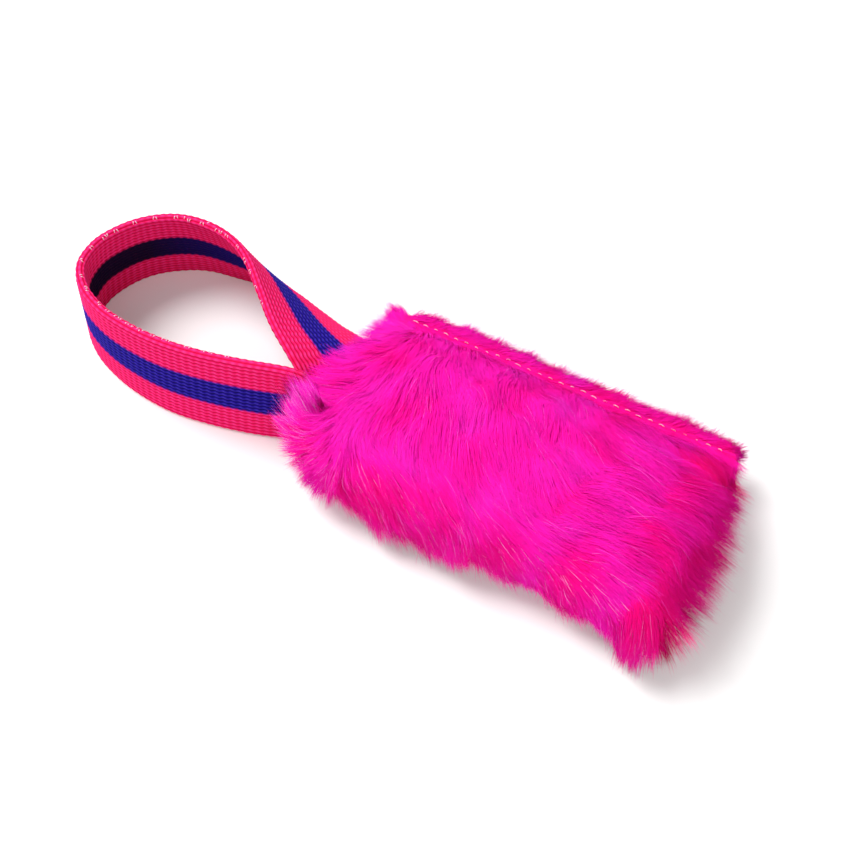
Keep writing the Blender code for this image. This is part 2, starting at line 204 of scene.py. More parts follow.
class Nodes:
    """A material's node tree, with short calls to add and join nodes."""

    def __init__(self, name, roughness, specular):
        self.material = bpy.data.materials.new(name)
        self.material.use_nodes = True
        self.tree = self.material.node_tree
        self.shader = self.tree.nodes["Principled BSDF"]
        self.shader.inputs["Roughness"].default_value = roughness
        self.shader.inputs["Specular IOR Level"].default_value = specular

    def add(self, kind, inputs=(), **settings):
        node = self.tree.nodes.new("ShaderNode" + kind)
        for key, value in settings.items():
            setattr(node, key, value)
        for key, value in dict(inputs).items():
            if isinstance(value, bpy.types.NodeSocket):
                self.tree.links.new(value, node.inputs[key])
            else:
                node.inputs[key].default_value = value
        return node

    def math(self, operation, a, b=0.0):
        return self.add("Math", {0: a, 1: b}, operation=operation).outputs[0]

    def ramp(self, factor, stops):
        node = self.add("ValToRGB", {0: factor})
        points = node.color_ramp.elements
        while len(points) < len(stops):
            points.new(0.5)
        for point, (place, colour) in zip(points, stops):
            point.position = place
            point.color = (*colour, 1.0)
        return node.outputs["Color"]

    def mix(self, factor, a, b, blend="MIX"):
        node = self.add("Mix", data_type="RGBA", blend_type=blend)
        for socket, value in ((node.inputs[0], factor), (node.inputs[6], a), (node.inputs[7], b)):
            if isinstance(value, bpy.types.NodeSocket):
                self.tree.links.new(value, socket)
            else:
                socket.default_value = value if isinstance(value, float) else (*value, 1.0)
        return node.outputs[2]

    def colour(self, socket):
        self.tree.links.new(socket, self.shader.inputs["Base Color"])

    def bump(self, height, strength, distance):
        node = self.add("Bump", {"Height": height, "Strength": strength, "Distance": distance})
        self.tree.links.new(node.outputs[0], self.shader.inputs["Normal"])


# Materials. A strand's map has a column for each shade and a row for each brightness, a ramp's
# colours are linear, and noise scales are in cycles per metre.
MAP_COLUMNS = 96
MAP_ROWS = 8
MAP_MARGIN = 0.06
NAP_BUMP = 0.4 * MM
YARN_BUMP = 0.3 * MM
TWIST_BUMP = 0.1 * MM
WISP_BUMP = 1.0 * MM
STRAP_WIDTHS = 9.0


def fur_material():
    """Colour from the strands' own map: u picks the shade, v runs from root to tip in every row."""
    m = Nodes("fur_strands_pink", 0.9, 0.02)
    place = m.add("SeparateXYZ", {0: m.add("UVMap", uv_map="OFBake").outputs[0]})
    u, v = place.outputs[0], place.outputs[1]
    row = m.math("MULTIPLY", v, MAP_ROWS)
    along = m.math("FRACT", row)
    level = m.math("DIVIDE", m.math("FLOOR", row), MAP_ROWS - 1)
    # The shade ramp runs from pink-red to magenta. Its palest end is the pale strands' colour, which is
    # partly painted sheen.
    shade = m.ramp(u, (
        (0.0, (1.0, 0.004, 0.24)),
        (0.30, (1.0, 0.006, 0.40)),
        (0.60, (1.0, 0.014, 0.60)),
        (0.84, (1.0, 0.030, 0.72)),
        (0.92, (1.0, 0.120, 0.76)),
        (1.0, (1.0, 0.480, 0.86)),
    ))
    bright = m.ramp(level, (
        (0.0, (0.98, 0.90, 0.92)),
        (0.5, (1.0, 0.97, 0.97)),
        (1.0, (1.0, 1.0, 1.0)),
    ))
    # Painted shade: the colour darkens and turns redder towards the roots, deep in the pile.
    root_shade = m.ramp(along, (
        (0.0, (1.0, 0.55, 0.55)),
        (0.45, (1.0, 0.85, 0.88)),
        (1.0, (1.0, 1.0, 1.0)),
    ))
    m.colour(m.mix(1.0, m.mix(1.0, shade, bright, "MULTIPLY"), root_shade, "MULTIPLY"))
    return m.material


def skin_material():
    m = Nodes("fur_backing_pink", 0.85, 0.05)
    spot = m.add("TexCoord").outputs["Object"]
    cloud = m.add("TexNoise", {"Vector": spot, "Scale": 140.0, "Detail": 3.0}).outputs[0]
    fine = m.add("TexNoise", {"Vector": spot, "Scale": 1800.0, "Detail": 2.0}).outputs[0]
    m.colour(m.ramp(cloud, ((0.3, (1.0, 0.004, 0.220)), (0.7, (1.0, 0.008, 0.360)))))
    m.bump(fine, 0.6, NAP_BUMP)
    return m.material


def webbing_material():
    """Stripes by place across the strap, with painted shade on the yarns where they dip between the crimps
    and a painted highlight on their crests.

    The inner face's blue is dark with painted shade, and brightens towards the far branch.
    """
    m = Nodes("striped_webbing_yarn", 0.8, 0.07)
    weave = m.add("UVMap", uv_map="Weave").outputs[0]
    place = m.add("SeparateXYZ", {0: weave})
    across, along = place.outputs[0], place.outputs[1]
    crimp_shade = m.add("Attribute", attribute_name="crimp_shade").outputs["Fac"]
    inner = m.add("Attribute", attribute_name="inner_face").outputs["Fac"]
    spot = m.add("TexCoord").outputs["Object"]
    cloud = m.add("TexNoise", {"Vector": spot, "Scale": 900.0, "Detail": 2.0}).outputs[0]
    ply_inputs = {"Vector": weave, "Scale": 8.0, "Distortion": 1.5, "Detail": 1.0}
    ply = m.add("TexWave", ply_inputs, bands_direction="DIAGONAL").outputs["Fac"]
    # Painted shade where the yarns dip and a painted highlight on their crests, for the pink and the outer
    # blue alike.
    pink = m.ramp(crimp_shade, (
        (0.0, (0.55, 0.001, 0.030)),
        (0.45, (0.95, 0.008, 0.13)),
        (1.0, (1.0, 0.05, 0.30)),
    ))
    outer_blue = m.ramp(crimp_shade, (
        (0.0, (0.002, 0.0002, 0.030)),
        (0.45, (0.012, 0.003, 0.26)),
        (1.0, (0.05, 0.03, 0.45)),
    ))
    # Painted shade: the inner face's blue is near black, and turns blue towards the far branch.
    shaded_inner_blue = m.ramp(m.math("DIVIDE", along, STRAP_WIDTHS), (
        (0.54, (0.010, 0.0015, 0.024)),
        (0.70, (0.012, 0.004, 0.20)),
    ))
    black, white = (0.0, 0.0, 0.0), (1.0, 1.0, 1.0)
    stripe = m.ramp(across, (
        (0.0, black),
        (0.335, black),
        (0.355, white),
        (0.665, white),
        (0.685, black),
        (1.0, black),
    ))
    base = m.mix(stripe, pink, m.mix(inner, outer_blue, shaded_inner_blue))
    m.colour(m.mix(m.math("MULTIPLY", cloud, 0.12), base, black))
    m.bump(m.math("ADD", m.math("MULTIPLY", ply, 0.6), cloud), 0.35, YARN_BUMP)
    return m.material


def thread_material(name, low, high):
    m = Nodes(name, 0.45, 0.4)
    spot = m.add("TexCoord").outputs["Object"]
    twist_inputs = {"Vector": spot, "Scale": 900.0, "Distortion": 2.0}
    twist = m.add("TexWave", twist_inputs, bands_direction="DIAGONAL").outputs["Fac"]
    m.colour(m.ramp(twist, ((0.0, low), (1.0, high))))
    m.bump(twist, 0.4, TWIST_BUMP)
    return m.material


def fibre_material():
    m = Nodes("white_fibre_wad", 0.9, 0.1)
    spot = m.add("TexCoord").outputs["Object"]
    wisps = m.add("TexNoise", {"Vector": spot, "Scale": 700.0, "Detail": 5.0}).outputs[0]
    m.colour(m.ramp(wisps, ((0.3, (0.62, 0.62, 0.60)), (0.7, (0.90, 0.90, 0.88)))))
    m.bump(wisps, 0.8, WISP_BUMP)
    return m.material


# Camera
def make_camera():
    camera = bpy.data.objects.new("camera", bpy.data.cameras.new("camera"))
    bpy.context.collection.objects.link(camera)
    camera.data.sensor_width = SENSOR
    camera.data.lens = FOCAL_LENGTH
    camera.data.clip_start = CLIP_START
    camera.data.clip_end = CLIP_END
    turn = math.radians(AZIMUTH)
    rise = math.radians(ELEVATION)
    back = Vector((math.sin(turn) * math.cos(rise), -math.cos(turn) * math.cos(rise), math.sin(rise)))
    camera.location = Vector(TARGET) + back * DISTANCE
    camera.rotation_euler = back.to_track_quat("Z", "Y").to_euler()
    bpy.context.scene.camera = camera


make_camera()

# Pillow skin: the fur's backing, under the pile
SKIN_INSET = 1.0 * MM
SKIN_ALONG = 110
SKIN_AROUND = 96
NEAR_POWER = 2.5
FAR_POWER = 1.65
HANDLE_POWER = 2.3
PLAIN_POWER = 2.9
END_RECESS = 3.5 * MM
FOLD_BULGE = 2.8 * MM
FOLD_HOLLOW = 2.2 * MM
HOLLOW_X = 52.0 * MM
HOLLOW_LENGTH = 20.0 * MM
CORNER_ROUND = 4.2 * MM
CORNER_LENGTH = 10.0 * MM
LOCK_HEIGHT = 1.0 * MM
LOCK_SPACING = 18.0 * MM
RIM_HEIGHT = 1.0 * MM
SKIN_LOWEST = 0.5 * MM
WELD = 0.02 * MM


def locks(x, y):
    """The pile's main locks: crests at 1, the hollows between them at -1."""
    along_wave = np.sin(math.tau * (x + y / 2) / LOCK_SPACING)
    across_wave = np.sin(math.tau * (y - x / 3) / LOCK_SPACING)
    return along_wave * across_wave


def skin_points(along, turn):
    """Points on the pillow at a share of its length and an angle round its section."""
    run = math.pi * along
    end_power = np.where(along < 0.5, HANDLE_POWER, PLAIN_POWER)
    full = np.abs(np.sin(run)) ** (2 / end_power)
    half = (COVER_LENGTH - SKIN_INSET) / 2
    x = SEAM_X + SKIN_INSET / 2 + half - half * superpower(np.cos(run), 2 / end_power)
    power = np.where((np.cos(turn) > 0) & (np.sin(turn) > 0), FAR_POWER, NEAR_POWER)
    rise = np.abs(np.sin(turn)) ** (2 / power)
    reach = superpower(np.cos(turn), 2 / power)
    x = x - np.where(along > 0.5, END_RECESS * rise * (1 - full) ** 2, 0.0)
    near = -COVER_WIDTH / 2 + FOLD_BULGE
    centre = (STITCH_Y + near) / 2
    bulge = FOLD_BULGE * np.sin(run)
    y = centre + np.where(reach >= 0, STITCH_Y - centre, centre - near + bulge - SKIN_INSET) * reach
    round_off = CORNER_ROUND * (1 - fade(x, SEAM_X, CORNER_LENGTH))
    round_off += FOLD_HOLLOW * hump(x, HOLLOW_X, HOLLOW_LENGTH)
    y += np.maximum(-reach, 0.0) * round_off
    upper = np.sin(turn) >= 0
    height = np.where(upper, CROWN - SEAM_Z - SKIN_INSET, SEAM_Z - SKIN_INSET / 2) - RIM_HEIGHT
    lift = np.where(reach >= 0, RIM_HEIGHT + height * full * rise, (RIM_HEIGHT + height * full) * rise)
    lift += np.where(upper, LOCK_HEIGHT * locks(x, y) * full * rise, 0.0)
    return np.stack([x, y, SEAM_Z + np.where(upper, lift, -lift)], axis=-1)


def skin_caps():
    """The faces that close both ends: strips between an end ring's upper and lower half."""
    half = SKIN_AROUND // 2
    k = np.arange(1, half - 1)
    strips = []
    corners = []
    for start, flip in ((0, 1), (SKIN_ALONG * SKIN_AROUND, -1)):
        last = start + SKIN_AROUND
        strip = np.stack([start + k, start + k + 1, last - k - 1, last - k], -1)
        strips.append(strip[:, ::flip])
        corners.append([start, start + 1, last - 1][::flip])
        corners.append([start + half - 1, start + half, start + half + 1][::flip])
    return strips, np.array(corners)


def make_skin():
    shares = np.arange(SKIN_ALONG + 1) / SKIN_ALONG
    turns = np.arange(SKIN_AROUND) / SKIN_AROUND * math.tau
    along, turn = np.meshgrid(shares, turns, indexing="ij")
    points = skin_points(along, turn)
    points[..., 2] = np.maximum(points[..., 2], SKIN_LOWEST)
    strips, corners = skin_caps()
    quads = np.concatenate([tube_quads(SKIN_ALONG + 1, SKIN_AROUND)] + strips)
    obj = new_mesh("fur_skin", points.reshape(-1, 3), [quads, corners])
    face_outward(obj, WELD)
    return obj


skin = make_skin()
skin.data.materials.append(skin_material())
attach(skin, "pillow")
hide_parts("fur_cover")

# Pile: how the fur is combed. Plan places in millimetres, the comb's direction in degrees from +X,
# the pile's length and its height over the backing in millimetres.
COMB_ROWS = (
    (-4, 24, 172, 7, 1.5), (10, 21, -66, 9, 0.9), (30, 21, -60, 9, 0.8), (50, 21, -70, 9, 0.8),
    (70, 21, -45, 9, 0.8), (87, 22, -60, 8, 1.0),
    (-4, 12, 178, 9, 3.4), (11, 9, -72, 13, 1.6), (29, 9, -62, 14, 1.3), (47, 9, -62, 14, 1.3),
    (62, 9, -25, 14, 1.3), (76, 9, 10, 12, 1.3), (87, 8, -66, 12, 1.6),
    (-4, -4, 184, 12, 9.0), (12, -5, -74, 13, 2.0), (30, -5, -60, 15, 1.4), (46, -5, -52, 15, 1.4),
    (60, -5, 8, 15, 1.4), (74, -5, 22, 13, 1.4), (87, -5, -70, 13, 1.8),
    (-4, -14, 182, 12, 9.0), (12, -18, -44, 13, 2.0), (30, -18, -26, 14, 2.0), (46, -18, -10, 14, 1.7),
    (60, -18, 4, 12, 1.1), (74, -18, -4, 11, 1.1), (87, -16, -70, 13, 1.8),
    (-4, -20, 178, 10, 8.0), (4, -24, -110, 6, 1.2),
    (-4, -26, -100, 4, 0.6), (12, -27, -22, 9, 0.8), (30, -27, -18, 9, 0.7), (46, -27, -10, 7, 0.5),
    (60, -27, -6, 5, 0.3), (74, -27, -20, 6, 0.4), (87, -26, -62, 10, 1.3),
)
COMB = np.array(COMB_ROWS, float)
COMB[:, :2] *= MM
COMB[:, 3:] *= MM
COMB_BLUR = 2 * MM
COMB_FALLOFF = 1.7
SWIRL_SIZE = 17 * MM
SWIRL_TURN = 0.38
CURL_SIZE = 6 * MM
CURL_TURN = 0.09


def comb_at(points):
    """Direction, length and height of the pile: the table's, blended by distance, with swirls."""
    gap = ((points[:, None, :2] - COMB[None, :, :2]) ** 2).sum(-1) + COMB_BLUR ** 2
    weight = gap ** -COMB_FALLOFF
    weight /= weight.sum(1, keepdims=True)
    angle = np.radians(COMB[:, 2])
    heading = np.arctan2(weight @ np.sin(angle), weight @ np.cos(angle))
    heading += SWIRL_TURN * ripple(points, SWIRL_SIZE, 11) + CURL_TURN * ripple(points, CURL_SIZE, 12, 2)
    return heading, weight @ COMB[:, 3], weight @ COMB[:, 4]


def tree_of(mesh):
    places = [v.co.copy() for v in mesh.vertices]
    return BVHTree.FromPolygons(places, [tuple(p.vertices) for p in mesh.polygons])


def surface(tree, points):
    """Nearest point's outward normal and the signed height over the surface."""
    out = np.empty_like(points)
    height = np.empty(len(points))
    for i, p in enumerate(points):
        near, normal, _, distance = tree.find_nearest(p)
        out[i] = normal
        height[i] = math.copysign(distance, (Vector(p) - near).dot(normal))
    return out, height


def scatter(mesh, count, keep):
    """Random places on a mesh, evenly by area, where keep(points, normals) is above a draw."""
    mesh.calc_loop_triangles()
    tris = np.array([t.vertices for t in mesh.loop_triangles])
    verts = np.array([v.co for v in mesh.vertices])
    a, b, c = verts[tris[:, 0]], verts[tris[:, 1]], verts[tris[:, 2]]
    cross = np.cross(b - a, c - a)
    area = np.linalg.norm(cross, axis=1)
    found = []
    normals = []
    missing = count
    while missing > 0:
        pick = rng.choice(len(tris), size=missing * 2, p=area / area.sum())
        r1 = np.sqrt(rng.random(len(pick)))
        r2 = rng.random(len(pick))
        p = a[pick] * (1 - r1)[:, None] + b[pick] * (r1 * (1 - r2))[:, None] + c[pick] * (r1 * r2)[:, None]
        n = unit(cross[pick])
        take = rng.random(len(pick)) < keep(p, n)
        found.append(p[take][:missing])
        normals.append(n[take][:missing])
        missing -= len(found[-1])
    return np.concatenate(found), np.concatenate(normals)


# How a strand grows, step by step. The gains and shares have no unit.
PILE_STEPS = 6
ROOT_DEPTH = 0.3 * MM
FREE_HEIGHT = 4 * MM
GUIDE_LOWEST = 0.25 * MM
GUIDE_UNEVEN = 0.2 * MM
STRAND_LOWEST = 0.15 * MM
START_ALONG = 0.8
START_LOFT = 0.45
LOFT_PER_MM = 0.10
LOFT_RANGE = (0.3, 1.2)
LEAVE_GAIN = 1.6
LIFT_GAIN = 2.2
MOST_LIFT = 0.9
SINK = 0.24
OLD_COURSE = 0.62
NEW_COURSE = 0.5
FACES_DOWN = -0.5


def grow(tree, roots, normals, heading, length, lay, droop, rise=0.0):
    """Strands that leave the surface, lie down along their heading and run free over its edges."""
    flat = np.stack([np.cos(heading), np.sin(heading), np.full(len(roots), rise)], -1)
    side = 1 - np.abs(normals[:, 2])
    flat[:, 2] -= droop * side * (normals[:, 2] > FACES_DOWN)
    along = unit(flat - normals * (flat * normals).sum(1, keepdims=True))
    loft = np.clip(START_LOFT + LOFT_PER_MM * lay / MM, *LOFT_RANGE)[:, None]
    toward = unit(along * START_ALONG + normals * loft)
    sink = np.array([0, 0, -SINK]) * droop[:, None]
    path = [roots - normals * ROOT_DEPTH]
    outs = [normals]
    step = (length / PILE_STEPS)[:, None]
    for _ in range(PILE_STEPS):
        spot = path[-1] + toward * step
        out, height = surface(tree, spot)
        leaving = (flat * out).sum(1, keepdims=True)
        hug = 1 - ease(leaving * LEAVE_GAIN)
        along = unit(flat - out * leaving)
        lift = np.clip((lay - height) / length * LIFT_GAIN, -MOST_LIFT, MOST_LIFT)[:, None]
        free = np.clip(height / FREE_HEIGHT, 0, 1)[:, None]
        want = lerp(flat, along, hug) + out * lift * hug + sink * free
        toward = unit(toward * OLD_COURSE + unit(want) * NEW_COURSE)
        spot[:, 2] = np.maximum(spot[:, 2], GUIDE_LOWEST + GUIDE_UNEVEN * rng.random(len(spot)))
        path.append(spot)
        outs.append(out)
    return np.array(path), np.array(outs)


# How the strands between the guides follow them
NEAREST = 3
GUIDE_BLUR = 0.25 * MM
STRAND_SIZE = (0.72, 1.1)
LOCK_CLOSES = 0.75
LOCK_POWER = 1.3
WAVE_PHASE = 5.0
WAVE_SHARE = 0.6


def nearest_guides(roots, guide_roots):
    """The nearest guides of every root, with their weights."""
    tree = kdtree.KDTree(len(guide_roots))
    for i, p in enumerate(guide_roots):
        tree.insert(p, i)
    tree.balance()
    picks = np.empty((len(roots), NEAREST), int)
    gaps = np.empty((len(roots), NEAREST))
    for i, p in enumerate(roots):
        for j, (_, index, gap) in enumerate(tree.find_n(p, NEAREST)):
            picks[i, j] = index
            gaps[i, j] = gap
    weight = 1 / (gaps + GUIDE_BLUR) ** 2
    return picks, weight / weight.sum(1, keepdims=True)


def strands(roots, normals, guides, outs, clump, spread):
    """Strands that copy the nearest guides and draw together into locks towards their tips."""
    picks, weight = nearest_guides(roots, guides[0])
    shape = guides - guides[0]
    bend = np.einsum("ij,kijc->kic", weight, shape[:, picks])
    out = unit(np.einsum("ij,kijc->kic", weight, outs[:, picks]))
    size = rng.uniform(*STRAND_SIZE, len(roots))[None, :, None]
    base = roots - normals * ROOT_DEPTH + bend * size
    lock = picks[:, 0]
    share = (np.arange(PILE_STEPS + 1) / PILE_STEPS)[:, None, None]
    around = roots - guides[0][lock]
    target = guides[:, lock] + around * (1 - LOCK_CLOSES * share)
    path = lerp(base, target, clump[None, :, None] * share ** LOCK_POWER)
    drift = rng.normal(size=(2, len(roots), 3)) * spread[None, :, None]
    path += drift[0] * share + drift[1] * np.sin(share * WAVE_PHASE) * share * WAVE_SHARE
    path[..., 2] = np.maximum(path[..., 2], STRAND_LOWEST)
    return path, out


# Ribbons, each with its own small rectangle in the map
ROLL = 0.28
MOST_ROLL = 0.7
TAPER_POWER = 0.7
LEAST_TAPER = 0.08
COAT_LEAN = 0.14


def by_strand(left, right, tip):
    """Every strand's values in a row: left and right at each step, then the tip."""
    pairs = np.stack([left[:-1], right[:-1]], 2).transpose(1, 0, 2, 3)
    return np.concatenate([pairs.reshape(len(tip), -1, 3), tip[:, None]], axis=1)


def strand_map(shade, level, steps):
    """The strands' places in the map: a column for the shade, root to tip in the brightness row."""
    column = 1 / MAP_COLUMNS
    left = np.clip(shade, 0.0, 1.0) * (1 - column)
    row = np.clip(np.floor(level * MAP_ROWS), 0, MAP_ROWS - 1) / MAP_ROWS
    v = row[:, None] + np.linspace(MAP_MARGIN, 1 - MAP_MARGIN, steps) / MAP_ROWS
    uv = np.empty((len(shade), 2 * steps - 1, 2))
    uv[:, 0:-1:2, 0] = left[:, None]
    uv[:, 1:-1:2, 0] = left[:, None] + column
    uv[:, -1, 0] = left + column / 2
    uv[:, 0:-1:2, 1] = v[:, :-1]
    uv[:, 1:-1:2, 1] = v[:, :-1]
    uv[:, -1, 1] = v[:, -1]
    return uv.reshape(-1, 2)


def ribbon_mesh(name, path, out, width, shade, level):
    """Tapered ribbons along the paths, shaded like the coat that they lie in."""
    steps, count = path.shape[:2]
    tangent = unit(np.gradient(path, axis=0))
    face = unit(np.cross(tangent, out))
    roll = np.clip(rng.normal(0, ROLL, count), -MOST_ROLL, MOST_ROLL)[None, :, None]
    broad = face * np.cos(roll) + np.cross(tangent, face) * np.sin(roll)
    taper = np.linspace(1.0, 0.0, steps)[:, None, None] ** TAPER_POWER
    half = broad * (width / 2)[None, :, None] * np.maximum(taper, LEAST_TAPER)
    verts = by_strand(path - half, path + half, path[-1])
    start = (np.arange(count) * verts.shape[1])[:, None]
    k = np.arange(steps - 2) * 2
    quads = start[:, :, None] + np.stack([k, k + 1, k + 3, k + 2], -1)[None]
    tris = start + (steps - 2) * 2 + np.arange(3)
    obj = new_mesh(name, verts.reshape(-1, 3), [quads.reshape(-1, 4), tris], strand_map(shade, level, steps))
    coat = unit(unit(out) + COAT_LEAN * np.cross(broad, tangent))
    coat = by_strand(coat, coat, coat[-1])
    obj.data.normals_split_custom_set_from_vertices(coat.reshape(-1, 3).astype(np.float32))
    obj.data.materials.append(FUR)
    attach(obj, "pillow")


def pile_pieces(name, most, paths, outs, width, shade, level):
    """The strands in separate pieces, with at most so many in each."""
    for number, first in enumerate(range(0, len(width), most)):
        part = slice(first, first + most)
        of_strands = (width[part], shade[part], level[part])
        ribbon_mesh(f"{name}_{number + 1}", paths[:, part], outs[:, part], *of_strands)


# Main pile. A pair is the place where a change starts and its length, which is negative where it
# runs the other way. A hump's pair is its middle and half width.
GUIDES = 5200
STRANDS = 150000
BROADER = 1.0
MOST_IN_PIECE = 17000
FUR = fur_material()

# The guides
UNDER = -0.6
UNDER_KEPT = 0.3
STITCH_CLEAR = 0.1 * MM
END_NORMAL = (0.25, 0.35)
END_FACE_X = (82 * MM, 4 * MM)
END_FACE_NEAR = (-22 * MM, 7 * MM)
END_FACE_FAR = (25 * MM, -6 * MM)
END_HEADING = math.radians(-8.0)
END_PILE = 13.5 * MM
END_LAY = 5.0 * MM
END_SHORTER = 4.5 * MM
END_SHORTER_Y = (4 * MM, 10 * MM)
HANDLE_END_X = (4 * MM, -8 * MM)
PLAIN_END_X = (80 * MM, 8 * MM)
PLAIN_END_Y = (-24 * MM, 7 * MM)
FOLD_Y = (-18 * MM, -6 * MM)
DROOP = 0.95
FOLD_DROOP = 0.7
HANDLE_HOLDS = 0.85
PLAIN_HOLDS = 0.75
BY_STRAP_Y = (-14 * MM, 8 * MM)
TUFT_Y = (-14 * MM, 4 * MM)
STRAP_RISE = 1.2
TUFT_RISE = 2.0
TUFT_LONGER = 4.0 * MM
TUFT_LAY = 1.5 * MM
LENGTH_SHARES = (0.78, 1.15)
BELOW_SHARE = 0.5
BELOW = -0.1
LAY_WAVE = 0.35 * MM
LAY_WAVE_SIZE = 9 * MM
LAY_UNEVEN = 0.22 * MM
LAY_RANGE = (0.5 * MM, 10.0 * MM)
USUAL_LENGTH = 11 * MM
SHORT_LAY_SHARES = (0.4, 1.1)

# The strands between the guides
SLAB = 12 * MM
SHUFFLE = 1e-6
LOWER_EDGE_Y = (-16 * MM, -8 * MM)
CLUMP = 0.04
CLUMP_WAVE = 0.16
CLUMP_SIZE = 8 * MM
EDGE_CLUMP = 0.60
MOST_CLUMP = 0.92
SPREAD = 0.54 * MM
EDGE_SPREAD = 0.06 * MM
SPREAD_SHARES = (0.4, 1.4)
COAT_SHADE = 0.55
PATCH_SHADE = 0.207
PATCH_SIZE = 17 * MM
SPOT_SHADE = 0.046
SPOT_SIZE = 5 * MM
# Painted shade: how much redder the lower edge and the plain end are made.
LOWER_EDGE_PAINTED_SHADE = 0.22
PLAIN_END_PAINTED_SHADE = 0.30
PLAIN_END_SHADE_X = (66 * MM, 16 * MM)
SHADE_UNEVEN = 0.035
FULL_PINK = 0.84
CORNER_X = (-5 * MM, 5 * MM)
CORNER_Y = (-16 * MM, 9 * MM)
CORNER_FACES_UP = 0.9
PALE_AND_SHEEN_SHARE = 0.018
PALE_AT_EDGE = 0.04
PALE_AT_CORNER = 0.42
PALE_FROM = 0.86
PALEST = 0.93
PALER = 0.06
BRIGHTNESS = (0.68, 0.2)
STRAND_WIDTH = (0.09 * MM, 0.17 * MM)


def on_pile(points, normals):
    """The share of strands kept at a place: fewer underneath, none on the pressed strip."""
    share = np.where(normals[:, 2] < UNDER, UNDER_KEPT, 1.0)
    return np.where(points[:, 1] > STITCH_Y - STITCH_CLEAR, 0.0, share)


def comb_guides(roots, normals):
    """The guides' heading, length, lay, droop and rise: the table's, changed at ends, fold and strap."""
    x, y = roots[:, 0], roots[:, 1]
    heading, length, lay = comb_at(roots)
    on_end = fade(normals[:, 0], *END_NORMAL) * fade(x, *END_FACE_X)
    on_end *= fade(y, *END_FACE_NEAR) * fade(y, *END_FACE_FAR)
    heading = lerp(heading, END_HEADING, on_end)
    length = lerp(length, END_PILE - END_SHORTER * fade(y, *END_SHORTER_Y), on_end)
    lay = lerp(lay, END_LAY, on_end)
    length = length * rng.uniform(*LENGTH_SHARES, GUIDES) * np.where(normals[:, 2] < BELOW, BELOW_SHARE, 1.0)
    lay = lay + LAY_WAVE * ripple(roots, LAY_WAVE_SIZE, 21) + LAY_UNEVEN * rng.normal(size=GUIDES)
    lay = np.clip(lay, *LAY_RANGE) * np.clip(length / USUAL_LENGTH, *SHORT_LAY_SHARES)
    at_handle = fade(x, *HANDLE_END_X)
    at_plain = fade(x, *PLAIN_END_X) * fade(y, *PLAIN_END_Y)
    droop = DROOP + FOLD_DROOP * fade(y, *FOLD_Y) - HANDLE_HOLDS * at_handle - PLAIN_HOLDS * at_plain
    tuft = at_handle * hump(y, *TUFT_Y)
    rise = STRAP_RISE * at_handle * hump(y, *BY_STRAP_Y) + TUFT_RISE * tuft
    return heading, length + TUFT_LONGER * tuft, lay + TUFT_LAY * tuft, droop, rise


def make_pile():
    """Guides, then the strands between them: more pale strands, partly painted sheen, at the lower edge and
    by the strap, and painted shade that turns the lower edge and the plain end redder.
    """
    guide_roots, guide_normals = scatter(skin.data, GUIDES, on_pile)
    comb = comb_guides(guide_roots, guide_normals)
    guides, guide_outs = grow(tree_of(skin.data), guide_roots, guide_normals, *comb)
    roots, normals = scatter(skin.data, STRANDS, on_pile)
    order = np.argsort(roots[:, 0] // SLAB + rng.random(STRANDS) * SHUFFLE)
    roots, normals = roots[order], normals[order]
    x, y = roots[:, 0], roots[:, 1]
    edge = fade(y, *LOWER_EDGE_Y)
    clump = CLUMP + CLUMP_WAVE * ripple(roots, CLUMP_SIZE, 31) + EDGE_CLUMP * edge
    clump = np.clip(clump, 0.0, MOST_CLUMP)
    spread = (SPREAD + EDGE_SPREAD * edge) * rng.uniform(*SPREAD_SHARES, STRANDS)
    paths, outs = strands(roots, normals, guides, guide_outs, clump, spread)
    patches = PATCH_SHADE * ripple(roots, PATCH_SIZE, 41, 2) + SPOT_SHADE * ripple(roots, SPOT_SIZE, 42, 2)
    # Painted shade: the pile's colour turns redder at the lower edge and at the plain end, which lie in
    # shade.
    painted_shade = np.maximum(LOWER_EDGE_PAINTED_SHADE * edge, PLAIN_END_PAINTED_SHADE * fade(x, *PLAIN_END_SHADE_X))
    shade = COAT_SHADE + patches - painted_shade + rng.normal(0, SHADE_UNEVEN, STRANDS)
    shade = np.clip(shade, 0, FULL_PINK)
    corner = hump(x, *CORNER_X) * hump(y, *CORNER_Y)
    outs[..., 2] += CORNER_FACES_UP * corner
    # Pale strands: partly pale hairs, partly painted sheen streaks in place of a gloss. They take the palest
    # columns of the map.
    pale_and_sheen = rng.random(STRANDS) < PALE_AND_SHEEN_SHARE + PALE_AT_EDGE * edge + PALE_AT_CORNER * corner
    palest = PALEST + PALER * np.maximum(edge, corner)
    shade = np.where(pale_and_sheen, rng.uniform(PALE_FROM, palest), shade)
    level = rng.normal(*BRIGHTNESS, STRANDS)
    width = rng.uniform(*STRAND_WIDTH, STRANDS) * BROADER
    pile_pieces("fur_pile", MOST_IN_PIECE, paths, outs, width, shade, level)


make_pile()

# Pressed strip along the far edge
BAND_FLARE = 1.3 * MM
BAND_OVER = 1.2 * MM
BAND_ROUND = 8.0 * MM
BAND_START_X = SEAM_X + 0.5 * MM
BAND_END_X = SEAM_X + COVER_LENGTH - 0.9 * MM
BAND_THICK = 1.8 * MM
BAND_Z = SEAM_Z + 0.6 * MM
BAND_TUCK = 2.0 * MM
BAND_POWER = 0.6
BAND_ALONG = 120
BAND_AROUND = 16
BAND_WAVE_SIZE = 14 * MM
BAND_WAVE_OUT = 0.35 * MM
BAND_WAVE_UP = 0.25 * MM
STITCH_INSET = 3.6 * MM


def band_flare(x):
    """The strip and its stitches swing out a little towards the plain end."""
    return BAND_FLARE * (x - SEAM_X) / COVER_LENGTH


